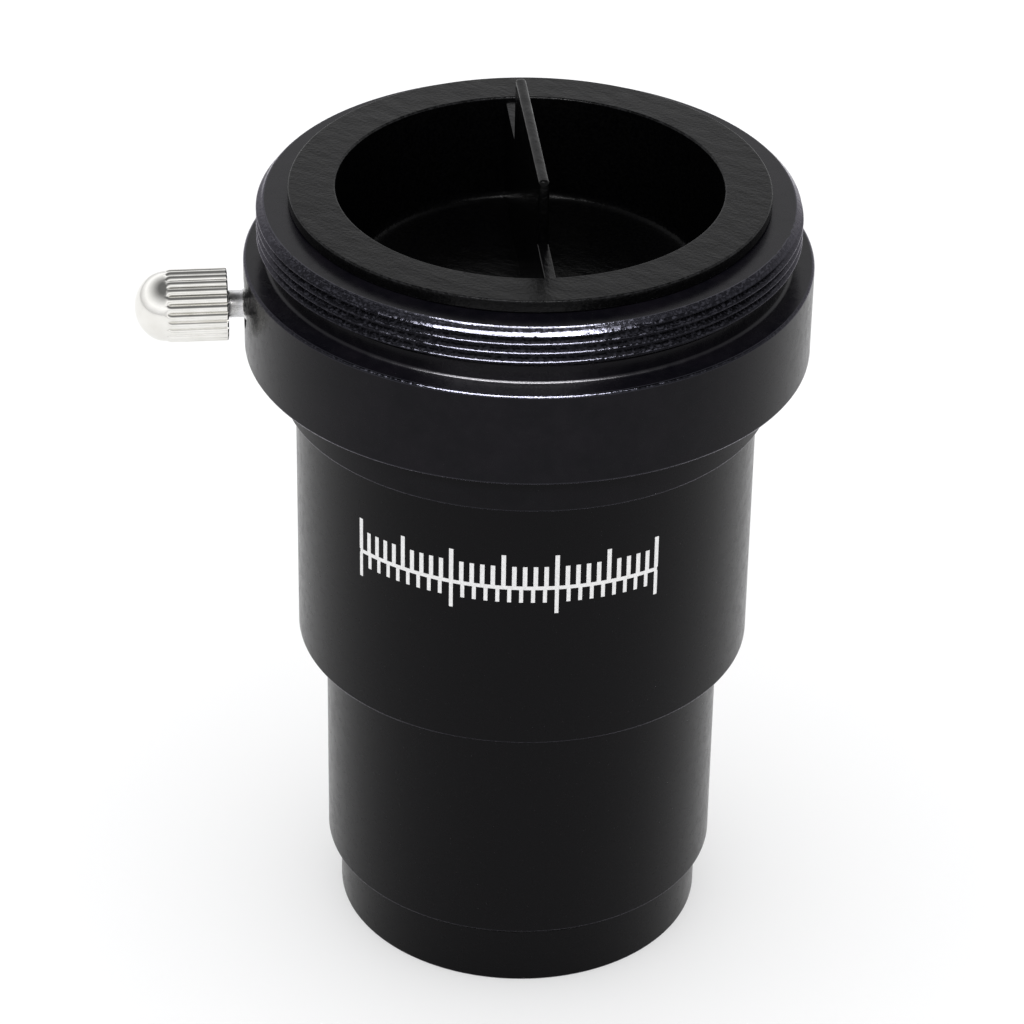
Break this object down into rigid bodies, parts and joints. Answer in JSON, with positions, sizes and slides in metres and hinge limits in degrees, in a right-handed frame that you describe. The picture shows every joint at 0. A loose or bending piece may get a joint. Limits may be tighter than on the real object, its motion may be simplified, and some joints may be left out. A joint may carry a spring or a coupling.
{
  "type": "barlow lens",
  "caption": "Stepped black Barlow lens tube with a 1.25 inch barrel, a screw-in lens cell, an M42 camera thread, a locking thumbscrew and a plug cap with a pull tab.",
  "frame": {"origin": "on the optical axis, at the bottom rim of the lens cell that the lens stands on", "axes": "+Z along the optical axis, from the telescope's side up to the eyepiece's side; the thumbscrew points out halfway between -X and -Y, and the dust cap's pull tab runs square to it"},
  "size_m": [0.0444, 0.0444, 0.0702],
  "materials": {
    "black_anodised": "satin black anodised, fine turned",
    "matt_black": "matt blackened",
    "black_plastic": "moulded, satin",
    "chrome": "bright plated",
    "steel": "bright plated thread",
    "coated_glass": "polished, green multi-coating",
    "white_print": "matt white ink"
  },
  "bodies": {
    "tube": {"camera_thread_collar": "black_anodised", "body_tube": "black_anodised", "nosepiece_barrel": "black_anodised", "glare_stop": "matt_black"},
    "dust_cap": {"dust_cap": "black_plastic"},
    "thumbscrew_stud": {"thumbscrew_stud": "steel"},
    "thumbscrew_head": {"thumbscrew_head": "chrome"},
    "doublet": {"crown_element": "coated_glass", "flint_element": "coated_glass"},
    "lens_cell": {"lens_cell": "black_anodised", "lens_retaining_ring": "matt_black"}
  },
  "joints": [
    {"name": "dust_cap_pull", "type": "slide", "parent": "tube", "child": "dust_cap", "axis": [0, 0, 1], "range_m": [0, 0.02]},
    {"name": "thumbscrew_travel", "type": "slide", "parent": "tube", "child": "thumbscrew_stud", "axis": [-0.7071, -0.7071, 0], "range_m": [0, 0.0036]},
    {"name": "thumbscrew_turn", "type": "hinge", "parent": "thumbscrew_stud", "child": "thumbscrew_head", "pos_m": [0, 0, 0.0557], "axis": [-0.7071, -0.7071, 0], "range_deg": [0, 2592]},
    {"name": "tube_unscrew_turn", "type": "hinge", "parent": "lens_cell", "child": "doublet", "pos_m": [0, 0, 0], "axis": [0, 0, 1], "range_deg": [0, 2520]},
    {"name": "tube_unscrew_travel", "type": "slide", "parent": "doublet", "child": "tube", "axis": [0, 0, 1], "range_m": [0, 0.0042]}
  ],
  "couplings": [
    {"joint": "thumbscrew_turn", "follows": "thumbscrew_travel", "rad_per_m": 12566},
    {"joint": "tube_unscrew_turn", "follows": "tube_unscrew_travel", "rad_per_m": 10472}
  ]
}
